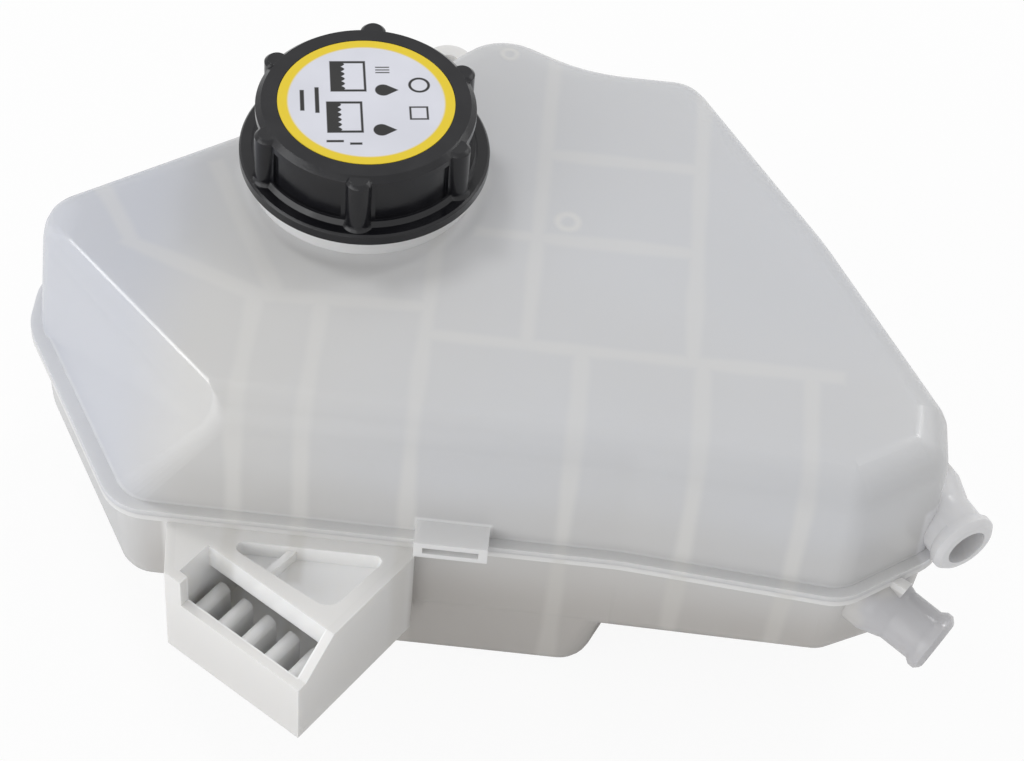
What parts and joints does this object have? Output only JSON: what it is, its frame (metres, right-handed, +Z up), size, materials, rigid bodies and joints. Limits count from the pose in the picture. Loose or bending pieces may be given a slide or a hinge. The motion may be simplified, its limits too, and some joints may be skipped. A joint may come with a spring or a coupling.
{
  "type": "coolant expansion tank",
  "caption": "Moulded coolant expansion tank with a screw valve cap, hose spigots, a side pocket and a bolted rear ear.",
  "frame": {"origin": "centre of the rear ear's bolt hole in the weld plane of the two shells", "axes": "+Z up along the filler neck, +X towards the hose spigots, +Y from the tank towards the rear ear"},
  "size_m": [0.28, 0.2484, 0.1304],
  "materials": {
    "natural_plastic": "translucent natural plastic, satin",
    "black_plastic": "moulded black plastic, satin",
    "label_print": "printed film",
    "grey_plastic": "moulded grey plastic",
    "rubber": "moulded rubber",
    "brass_yellow": "pressed, plain",
    "steel": "spring wire and stamped steel"
  },
  "bodies": {
    "tank": {"upper_shell": "natural_plastic", "lower_shell": "natural_plastic"},
    "plug": {"cap_plug": "grey_plastic", "plug_seal_upper": "rubber", "plug_seal_lower": "rubber", "valve_seat_ring": "grey_plastic", "pressure_spring": "steel"},
    "cap": {"cap_cover": "black_plastic", "cap_label": "label_print"},
    "pressure_valve_body": {"pressure_valve": "brass_yellow", "pressure_valve_seal": "rubber", "inlet_valve_spring": "steel"},
    "inlet_valve_body": {"inlet_valve": "steel", "inlet_valve_clip": "steel"}
  },
  "joints": [
    {"name": "plug_lift", "type": "slide", "parent": "tank", "child": "plug", "axis": [0, 0, 1], "range_m": [0, 0.01]},
    {"name": "cap_turn", "type": "hinge", "parent": "plug", "child": "cap", "pos_m": [-0.0175, -0.096, 0.049], "axis": [0, 0, 1], "range_deg": [0, 720]},
    {"name": "pressure_lift", "type": "slide", "parent": "plug", "child": "pressure_valve_body", "axis": [0, 0, 1], "range_m": [0, 0.003], "stiffness_N_per_m": 600, "springref_m": -0.004, "deforming": ["pressure_spring"]},
    {"name": "inlet_drop", "type": "slide", "parent": "pressure_valve_body", "child": "inlet_valve_body", "axis": [0, 0, -1], "range_m": [0, 0.0015], "stiffness_N_per_m": 100, "springref_m": -0.001, "deforming": ["inlet_valve_spring"]}
  ],
  "couplings": [
    {"joint": "cap_turn", "follows": "plug_lift", "rad_per_m": 1256.6}
  ]
}
